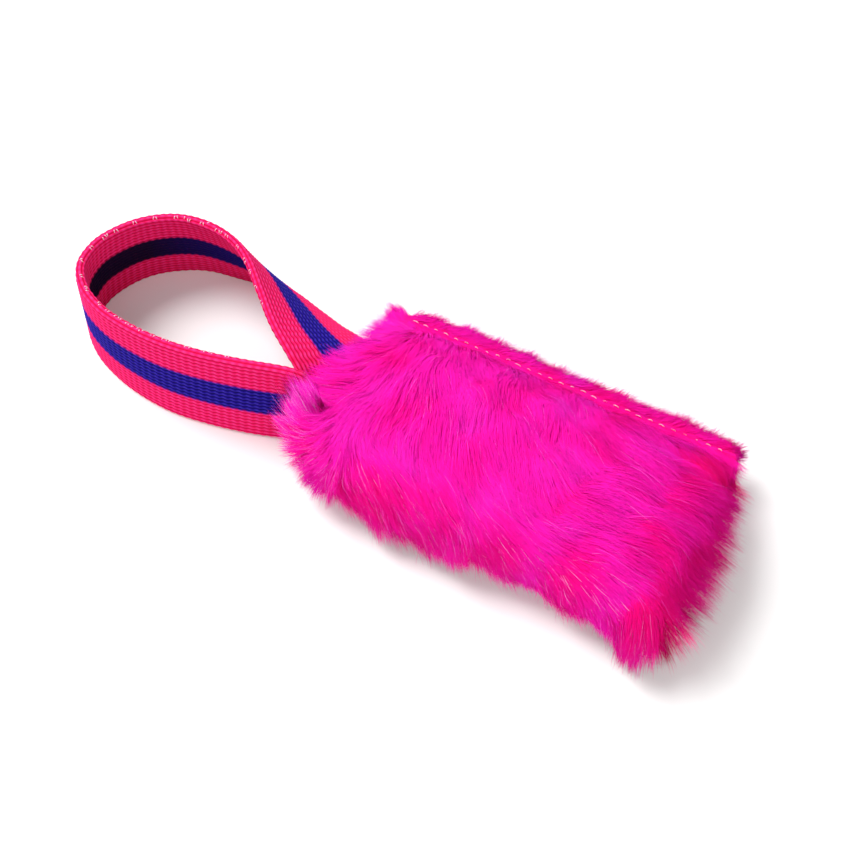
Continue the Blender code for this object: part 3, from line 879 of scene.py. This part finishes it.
def band_edge(x):
    """The strip's outer edge, rounded off at both short ends."""
    from_end = np.minimum(x - SEAM_X, BAND_END_X - x)
    missing = np.clip(1 - from_end / BAND_ROUND, 0, 1)
    return COVER_WIDTH / 2 + BAND_OVER + band_flare(x) - BAND_ROUND / 2 * (1 - np.sqrt(1 - missing ** 2))


def stitch_row(x):
    return COVER_WIDTH / 2 + BAND_OVER - STITCH_INSET + band_flare(x)


def make_band():
    """The two pressed layers of fur outside the stitch line, closed and rounded at the edge."""
    along = np.linspace(BAND_START_X, BAND_END_X, BAND_ALONG + 1)
    around = np.arange(BAND_AROUND) / BAND_AROUND * math.tau
    x, turn = np.meshgrid(along, around, indexing="ij")
    inner, outer = STITCH_Y - BAND_TUCK, band_edge(x)
    y = (inner + outer) / 2 + (outer - inner) / 2 * superpower(np.cos(turn), BAND_POWER)
    z = BAND_Z + BAND_THICK * superpower(np.sin(turn), BAND_POWER)
    points = np.stack([x, y, z], -1)
    wave = ripple(points.reshape(-1, 3), BAND_WAVE_SIZE, 51, 2).reshape(x.shape)
    points[..., 1] += BAND_WAVE_OUT * wave * (np.cos(turn) > 0)
    points[..., 2] += BAND_WAVE_UP * wave
    ring = np.arange(BAND_AROUND)[None, :]
    caps = [ring, (BAND_ALONG * BAND_AROUND + ring)[:, ::-1]]
    quads = tube_quads(BAND_ALONG + 1, BAND_AROUND)
    obj = new_mesh("fur_pressed_strip", points.reshape(-1, 3), [quads] + caps)
    face_outward(obj)
    return obj


strip = make_band()
strip.data.materials.append(skin.data.materials[0])
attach(strip, "pillow")

# The strip's short pile and a few loose wisps. A range has the least and the most of a draw.
SHORT = 32000
WISPS = 110
FACES_UP = 0.6
FACES_OUT = 0.4
ROW_CLEAR = 0.4 * MM
ROW_KEPT = 0.3
STRIP_CLEAR = 1.4 * MM
PART_WIDTH = 0.8 * MM
INNER_HEADING = -50.0
OUTER_HEADING = 48.0
END_STRIP = 3 * MM
END_STRIP_HEADING = math.radians(150.0)
END_STRIP_LONGER = 1.5
STRIP_SWIRL = 0.4
STRIP_SWIRL_SIZE = 8 * MM
STRIP_STRAY = 0.25
STRIP_SHADE = 0.4475
STRIP_PATCH = 0.1925
STRIP_PATCH_SIZE = 15 * MM
STRIP_UNEVEN = 0.06
WISP_HEADING = (5, 75)
WISP_LENGTH = (4.0 * MM, 8.0 * MM)
SHORT_LENGTH = (2.6 * MM, 5.0 * MM)
WISP_LAY = (1.5 * MM, 3.5 * MM)
SHORT_LAY = (0.4 * MM, 1.0 * MM)
SHORT_DROOP = 0.15
WISP_SPREAD = 0.7 * MM
SHORT_SPREAD = 0.18 * MM
SHORT_BRIGHTNESS = (0.7, 0.2)
WISP_WIDTH = (0.07 * MM, 0.11 * MM)
SHORT_WIDTH = (0.10 * MM, 0.18 * MM)


def on_strip(points, normals):
    """Thin over the stitches, so that they show."""
    near = np.abs(points[:, 1] - stitch_row(points[:, 0])) < ROW_CLEAR
    share = np.where(near & (np.abs(normals[:, 2]) > FACES_UP), ROW_KEPT, 1.0)
    return np.where(points[:, 1] < STITCH_Y - STRIP_CLEAR, 0.0, share)


def at_rim(points, normals):
    return np.where((normals[:, 1] > FACES_OUT) & (points[:, 2] > BAND_Z), 1.0, 0.0)


def make_short_pile():
    short_roots, short_normals = scatter(strip.data, SHORT, on_strip)
    wisp_roots, wisp_normals = scatter(strip.data, WISPS, at_rim)
    roots = np.concatenate([short_roots, wisp_roots])
    normals = np.concatenate([short_normals, wisp_normals])
    count = len(roots)
    wisp = np.arange(count) >= SHORT
    at_end = roots[:, 0] < SEAM_X + END_STRIP
    outside = ease((roots[:, 1] - stitch_row(roots[:, 0])) / PART_WIDTH + 0.5)
    heading = np.radians(lerp(INNER_HEADING, OUTER_HEADING, outside))
    heading += STRIP_SWIRL * ripple(roots, STRIP_SWIRL_SIZE, 52, 2) + rng.normal(0, STRIP_STRAY, count)
    heading = np.where(at_end, END_STRIP_HEADING, heading)
    heading = np.where(wisp, np.radians(rng.uniform(*WISP_HEADING, count)), heading)
    length = np.where(wisp, rng.uniform(*WISP_LENGTH, count), rng.uniform(*SHORT_LENGTH, count))
    length = np.where(at_end, length * END_STRIP_LONGER, length)
    lay = np.where(wisp, rng.uniform(*WISP_LAY, count), rng.uniform(*SHORT_LAY, count))
    droop = np.full(count, SHORT_DROOP)
    paths, outs = grow(tree_of(strip.data), roots, normals, heading, length, lay, droop)
    spread = np.where(wisp, WISP_SPREAD, SHORT_SPREAD)
    share = (np.arange(PILE_STEPS + 1) / PILE_STEPS)[:, None, None]
    paths += rng.normal(size=(1, count, 3)) * spread[None, :, None] * share ** 2
    shade = STRIP_SHADE + STRIP_PATCH * ripple(roots, STRIP_PATCH_SIZE, 53, 2)
    shade = np.clip(shade + rng.normal(0, STRIP_UNEVEN, count), 0, FULL_PINK)
    level = rng.normal(*SHORT_BRIGHTNESS, count)
    width = np.where(wisp, rng.uniform(*WISP_WIDTH, count), rng.uniform(*SHORT_WIDTH, count) * BROADER)
    pile_pieces("fur_short_pile", math.ceil(count / 2), paths, outs, width, shade, level)


make_short_pile()

# Webbing
TAIL = 16.0 * MM
TAIL_LOW_Y = -9.5 * MM
TAIL_HIGH_Y = 4.5 * MM
TAIL_APART = 1.45 * MM
LINE_STEPS = 24
RIBS = 20
PER_RIB = 4
EDGE_RIBS = 3
RING_GAP = 0.40 * MM
CRIMP = 2.1 * MM
YARN_FULL = 0.80
YARN_SWING = 0.20
YARN_POWER = 0.8
RIB_HEIGHT = 0.36 * MM
RIB_PHASE = 0.25
EDGE_RIB_PHASE = 0.6
WEAVE_SLIDE = 0.16 * MM
SLIDE_LAG = 0.8
SLIDE_POWER = 10
EDGE_RADIUS = WEB_THICK / 2 - RIB_HEIGHT
WEB_SPREAD = 0.45 * MM
WEB_HALF = WEB_WIDTH / 2 + WEB_SPREAD
WEB_LOWEST = 0.05 * MM
TURN_INTO_PILE = 6.6 * MM
TURN_SHARES = (0.1, 0.2)
GATHER_X = SEAM_X + 1.6 * MM
GATHER_LENGTH = 3.8 * MM
GATHER_SHARE = 0.62

# The outer and the inner side: sign, the face's and the edge's phase, and 1 on the inner face
STRAP_SIDES = ((1, 0.0, 0.7, 0.0), (-1, 1.3, 2.1, 1.0))


def smooth_rows(rows, steps):
    """A smooth line through every row, with steps points to each span."""
    rows = np.array(rows, float)
    last = len(rows) - 1
    out = []
    for i in range(last):
        before, start, end, after = (rows[max(0, min(last, i + k))] for k in (-1, 0, 1, 2))
        bend = 2 * before - 5 * start + 4 * end - after
        twist = 3 * start - before - 3 * end + after
        for step in range(steps):
            t = step / steps
            out.append(start + t * ((end - before) + t * (bend + t * twist)) / 2)
    out.append(rows[-1])
    return np.array(out)


def webbing_line():
    """The strap's middle line. Its first turn is drawn a little way into the pile, which hides it."""
    rows = []
    for number, (out, along, high, lean) in enumerate(ROUTE_SHARES):
        near_branch = number < len(ROUTE_SHARES) / 2
        drawn_in = TURN_INTO_PILE * (1 - fade(out, *TURN_SHARES)) if near_branch else 0.0
        rows.append((SEAM_X + drawn_in - LOOP_REACH * out, LOOP_SPREAD * along, WEB_WIDTH * high, lean))
    tails = (SEAM_X + TAIL, SEAM_X + TAIL / 2, SEAM_X + TAIL / 5)
    low = [(x, TAIL_LOW_Y, SEAM_Z - TAIL_APART, 90.0) for x in tails[:2]]
    high = [(x, TAIL_HIGH_Y, SEAM_Z + TAIL_APART, -90.0) for x in reversed(tails)]
    fine = smooth_rows(low + rows + high, LINE_STEPS)
    seg = np.linalg.norm(np.diff(fine[:, :3], axis=0), axis=1)
    length = np.concatenate(([0], np.cumsum(seg)))
    count = round(length[-1] / RING_GAP)
    at = np.linspace(0, length[-1], count + 1)
    line = np.stack([np.interp(at, length, fine[:, k]) for k in range(4)], -1)
    place = line[:, :3]
    forward = unit(np.gradient(place, axis=0) * np.array([1.0, 1.0, 0.0]))
    up = np.array([0, 0, 1.0])
    lean = np.radians(line[:, 3])[:, None]
    across = up * np.cos(lean) - np.cross(forward, up) * np.sin(lean)
    place = place + up * WEB_SPREAD * np.abs(np.cos(lean))
    first = np.arange(len(at)) < len(at) / 2
    gather = 1 - GATHER_SHARE * first * hump(place[:, 0], GATHER_X, GATHER_LENGTH)
    return at, place, across * gather[:, None], np.cross(across, forward), forward


def strap_sections(at):
    """The strap's outline at each distance: place across, height, how high the yarn crests (for painted
    shade and highlight), and 1 on the inner face.
    """
    w = np.linspace(-1, 1, RIBS * PER_RIB + 1)
    rib = (w + 1) / 2 * RIBS
    number = np.minimum(np.floor(rib), RIBS - 1)
    crest = np.sin((rib - number) * math.pi)
    turn = np.linspace(-math.pi / 2, math.pi / 2, EDGE_RIBS * PER_RIB + 1)[1:-1]
    edge_number = np.floor((turn / math.pi + 0.5) * EDGE_RIBS)
    edge_crest = np.abs(np.sin((turn + math.pi / 2) * EDGE_RIBS))
    sections = []
    for s in at:
        ring = []
        for sign, face_phase, edge_phase, inner in STRAP_SIDES:
            phase = math.tau * s / CRIMP + number * RIB_PHASE + face_phase
            yarn = YARN_FULL + YARN_SWING * np.sin(phase)
            lift = crest ** YARN_POWER * yarn * RIB_HEIGHT
            slide = WEAVE_SLIDE * np.sin(phase - SLIDE_LAG) * (1 - w ** SLIDE_POWER)
            wide = sign * w * (WEB_HALF - EDGE_RADIUS) + slide
            high = sign * (EDGE_RADIUS + lift)
            ring.append(np.stack([wide, high, crest * yarn, np.full(len(w), inner)], -1))
            phase = math.tau * s / CRIMP + edge_number * EDGE_RIB_PHASE + edge_phase
            yarn = YARN_FULL + YARN_SWING * np.sin(phase)
            radius = EDGE_RADIUS + edge_crest ** YARN_POWER * yarn * RIB_HEIGHT
            wide = sign * (WEB_HALF - EDGE_RADIUS + np.cos(turn) * radius)
            high = -sign * np.sin(turn) * radius
            ring.append(np.stack([wide, high, edge_crest * yarn, np.zeros(len(turn))], -1))
        sections.append(np.concatenate(ring))
    return np.array(sections)


def strap_map(loops, at, sides):
    """Along the strap and round it, for each corner. The last face of a ring runs on to 1."""
    uv = np.stack([at[loops // sides] / at[-1], loops % sides / sides], -1)
    around = uv[:4 * sides * (len(at) - 1)].reshape(-1, 4, 2)[..., 1]
    closing = np.ptp(around, axis=1) > 0.5
    around[closing[:, None] & (around < 0.5)] = 1.0
    return uv


def make_webbing():
    at, place, across, thick, _ = webbing_line()
    section = strap_sections(at)
    points = place[:, None] + across[:, None] * section[..., :1] + thick[:, None] * section[..., 1:2]
    points[..., 2] = np.maximum(points[..., 2], WEB_LOWEST)
    rings, sides = points.shape[:2]
    ring = np.arange(sides)[None, :]
    caps = [ring[:, ::-1], (rings - 1) * sides + ring]
    quads = tube_quads(rings, sides, flip=True)
    obj = new_mesh("webbing_handle", points.reshape(-1, 3), [quads] + caps)
    mesh = obj.data
    loops = np.empty(len(mesh.loops), np.int32)
    mesh.loops.foreach_get("vertex_index", loops)
    add_map(mesh, "OFBake", strap_map(loops, at, sides))
    share = section[..., 0] / (2 * WEB_HALF) + 0.5
    weave = np.stack([share, np.broadcast_to((at / WEB_WIDTH)[:, None], share.shape)], -1)
    add_map(mesh, "Weave", weave.reshape(-1, 2)[loops])
    for name, values in (("crimp_shade", np.clip(section[..., 2], 0, 1)), ("inner_face", section[..., 3])):
        attribute = mesh.attributes.new(name, "FLOAT", "POINT")
        attribute.data.foreach_set("value", values.astype(np.float32).ravel())
    return obj


webbing = make_webbing()
webbing.data.materials.append(webbing_material())
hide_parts("handle_loop", "lower_strap_end", "upper_strap_end")
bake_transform(webbing)

# Threads: short arcs of a round thread whose ends dive into the cloth
ARC_SIDES = 6
ARC_STEPS = 6
ARC_DIVE = 0.25
END_THICK = 0.75
WHITE_THREAD = thread_material("white_thread_twist", (0.82, 0.38, 0.55), (1.0, 0.76, 0.88))


def arcs(name, feet, radius, rise):
    """One mesh of arched white stitches. feet is a list of (start, end, up)."""
    t = np.linspace(0, 1, ARC_STEPS + 1)[:, None, None]
    angle = np.arange(ARC_SIDES)[None, :, None] / ARC_SIDES * math.tau
    arch = np.sin(math.pi * t)
    thick = radius * lerp(END_THICK, 1.0, arch)
    ring = np.arange(ARC_SIDES)
    size = (ARC_STEPS + 1) * ARC_SIDES
    verts = []
    quads = []
    caps = []
    for number, (start, end, up) in enumerate(feet):
        start, end, up = np.array(start), np.array(end), unit(np.array(up, float))
        out = np.cross(unit(end - start), up)
        middle = lerp(start, end, t) + up * rise * (arch - ARC_DIVE)
        around = out * (thick * np.cos(angle)) + up * (thick * np.sin(angle))
        verts.append((middle + around).reshape(-1, 3))
        base = number * size
        quads.append(base + tube_quads(ARC_STEPS + 1, ARC_SIDES, flip=True))
        caps += [base + ring[::-1], base + size - ARC_SIDES + ring]
    obj = new_mesh(name, np.concatenate(verts), [np.concatenate(quads), np.array(caps)])
    obj.data.materials.append(WHITE_THREAD)
    return obj


# Topstitch
STITCH_PITCH = 3.0 * MM
STITCH_RUN = COVER_LENGTH - 8 * MM
STITCH_START = SEAM_X + 4 * MM
STITCH_HALF = (0.14, 0.28)
STITCH_SWAY = 0.08 * MM
STITCH_SLANT = 0.1 * MM
STITCH_HEIGHT = (-0.05 * MM, 0.32 * MM)


def topstitch_feet(sign):
    """Feet of the stitches on the strip's upper (1) or lower (-1) side."""
    count = round(STITCH_RUN / STITCH_PITCH)
    feet = []
    for i in range(count):
        x = STITCH_START + (i + 0.5) * STITCH_RUN / count
        half = STITCH_PITCH * rng.uniform(*STITCH_HALF)
        y = stitch_row(x) + rng.normal(0, STITCH_SWAY)
        z = BAND_Z + sign * (BAND_THICK + rng.uniform(*STITCH_HEIGHT))
        end_y = y + rng.normal(0, STITCH_SLANT)
        feet.append(((x - half, y, z), (x + half, end_y, z), (0, 0, sign)))
    return feet


for name, sign, node in (("topstitch_upper", 1, "topstitch_needle_thread"),
                         ("topstitch_lower", -1, "topstitch_bobbin_thread")):
    stitches = arcs(name, topstitch_feet(sign), radius=0.11 * MM, rise=0.22 * MM)
    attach(stitches, "pillow")
    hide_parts(node)

# Catch stitches in groups along the loop's upper edge. A mark has a shift along the loop and a slant,
# and the last one of a group is sometimes left out.
CATCH_MARKS = ((0.0, 0.5), (0.9 * MM, -0.5), (1.8 * MM, 0.5))
CATCH_LEFT_OUT = 0.45
CATCH_FROM = 0.25
CATCH_GAP = (3.4 * MM, 6.6 * MM)
CATCH_DEPTH = 0.05 * MM
CATCH_OFFSET = -0.3 * MM
CATCH_SWAY = 0.15 * MM
CATCH_HALF = 0.45 * MM
CATCH_SLANT = 0.3 * MM


def catch_feet():
    at, place, across, thick, forward = webbing_line()
    on_loop = at[place[:, 0] < SEAM_X - LOOP_REACH * CATCH_FROM]
    feet = []
    s = on_loop[0]
    while s < on_loop[-1]:
        for shift, slant in CATCH_MARKS:
            if shift == CATCH_MARKS[-1][0] and rng.random() < CATCH_LEFT_OUT:
                continue
            i = int(np.argmin(np.abs(at - s - shift)))
            edge = place[i] + across[i] * (WEB_HALF - CATCH_DEPTH)
            offset = rng.normal(CATCH_OFFSET, CATCH_SWAY)
            lean = forward[i] * slant * CATCH_SLANT
            start = edge + thick[i] * (offset - CATCH_HALF) - lean
            end = edge + thick[i] * (offset + CATCH_HALF) + lean
            feet.append((start, end, across[i]))
        s += rng.uniform(*CATCH_GAP)
    return feet


catch = arcs("catch_stitches", catch_feet(), radius=0.14 * MM, rise=0.4 * MM)
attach(catch, "handle")
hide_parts("catch_thread")

# Filling: the skin's own form, drawn in
WAD_MIDDLE = np.array([SEAM_X + COVER_LENGTH / 2, -1.5 * MM, SEAM_Z + 1 * MM])
WAD_SHARES = np.array([0.86, 0.82, 0.62])
WAD_LUMP = 0.8 * MM
WAD_LUMP_SIZE = 9 * MM


def make_wad():
    obj = skin.copy()
    obj.data = skin.data.copy()
    obj.name = obj.data.name = "fibre_wad"
    bpy.context.collection.objects.link(obj)
    for key in list(obj.keys()):
        del obj[key]
    obj.parent = None
    places = np.array([v.co for v in obj.data.vertices])
    reach = places - WAD_MIDDLE
    lumps = unit(reach) * (WAD_LUMP * ripple(places, WAD_LUMP_SIZE, 61))[:, None]
    shrunk = WAD_MIDDLE + reach * WAD_SHARES + lumps
    obj.data.vertices.foreach_set("co", shrunk.astype(np.float32).ravel())
    obj.data.materials.clear()
    obj.data.materials.append(fibre_material())
    return obj


wad = make_wad()
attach(wad, "pillow")
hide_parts("fibre_filling")

# The sewn threads that stay as the solids have them
pink_thread = thread_material("seam_thread_twist", (0.75, 0.01, 0.2), (0.95, 0.06, 0.4))
for node in ("handle_end_seam_thread", "plain_end_seam_thread", "strap_tack_thread"):
    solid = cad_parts[node]
    solid.data.materials.clear()
    solid.data.materials.append(pink_thread)

# Stage and light, in metres and watts
FLOOR_SIZE = 6.0
FLOOR_DROP = 0.02 * MM
FLOOR_COLOUR = (0.86, 0.855, 0.85, 1.0)
WHITE = (1.0, 1.0, 1.0, 1.0)
WORLD_LIGHT = 0.48


def floor_material():
    """White, with a glow for the camera alone that grows with distance and hides the horizon."""
    m = Nodes("floor_white", 0.9, 0.0)
    m.shader.inputs["Base Color"].default_value = FLOOR_COLOUR
    spot = m.add("TexCoord").outputs["Object"]
    away = m.add("VectorMath", {0: spot}, operation="LENGTH").outputs["Value"]
    span = {"Value": away, "From Min": 0.30, "From Max": 1.6, "To Min": 0.10, "To Max": 0.62}
    glow = m.add("MapRange", span, interpolation_type="SMOOTHSTEP").outputs[0]
    seen = m.add("LightPath").outputs["Is Camera Ray"]
    light = m.add("Emission", {"Color": WHITE, "Strength": m.math("MULTIPLY", seen, glow)})
    both = m.add("AddShader", {0: m.shader.outputs[0], 1: light.outputs[0]})
    m.tree.links.new(both.outputs[0], m.tree.nodes["Material Output"].inputs["Surface"])
    return m.material


def make_floor():
    bpy.ops.mesh.primitive_plane_add(size=FLOOR_SIZE, location=(0, 0, -FLOOR_DROP))
    obj = bpy.context.object
    obj.name = "floor"
    obj.data.materials.append(floor_material())
    return obj


def make_world():
    """White where the camera sees it, and dimmer as a light."""
    world = bpy.data.worlds.new("world")
    bpy.context.scene.world = world
    world.use_nodes = True
    nodes = world.node_tree.nodes
    links = world.node_tree.links
    background = nodes["Background"]
    background.inputs["Color"].default_value = WHITE
    rays = nodes.new("ShaderNodeLightPath")
    strength = nodes.new("ShaderNodeMapRange")
    strength.inputs["To Min"].default_value = WORLD_LIGHT
    links.new(rays.outputs["Is Camera Ray"], strength.inputs["Value"])
    links.new(strength.outputs[0], background.inputs["Strength"])


def lamp(name, place, size, power):
    """A round lamp that is aimed at the origin."""
    light = bpy.data.lights.new(name, "AREA")
    light.shape = "DISK"
    light.size = size
    light.energy = power
    obj = bpy.data.objects.new(name, light)
    obj.location = place
    obj.rotation_euler = Vector(place).to_track_quat("Z", "Y").to_euler()
    bpy.context.collection.objects.link(obj)


floor = make_floor()
make_world()
lamp("key", place=(-0.62, 0.0, 0.90), size=0.70, power=13.0)
lamp("fill", place=(0.55, -0.60, 0.45), size=0.60, power=2.6)
bpy.context.scene.view_settings.view_transform = "Standard"
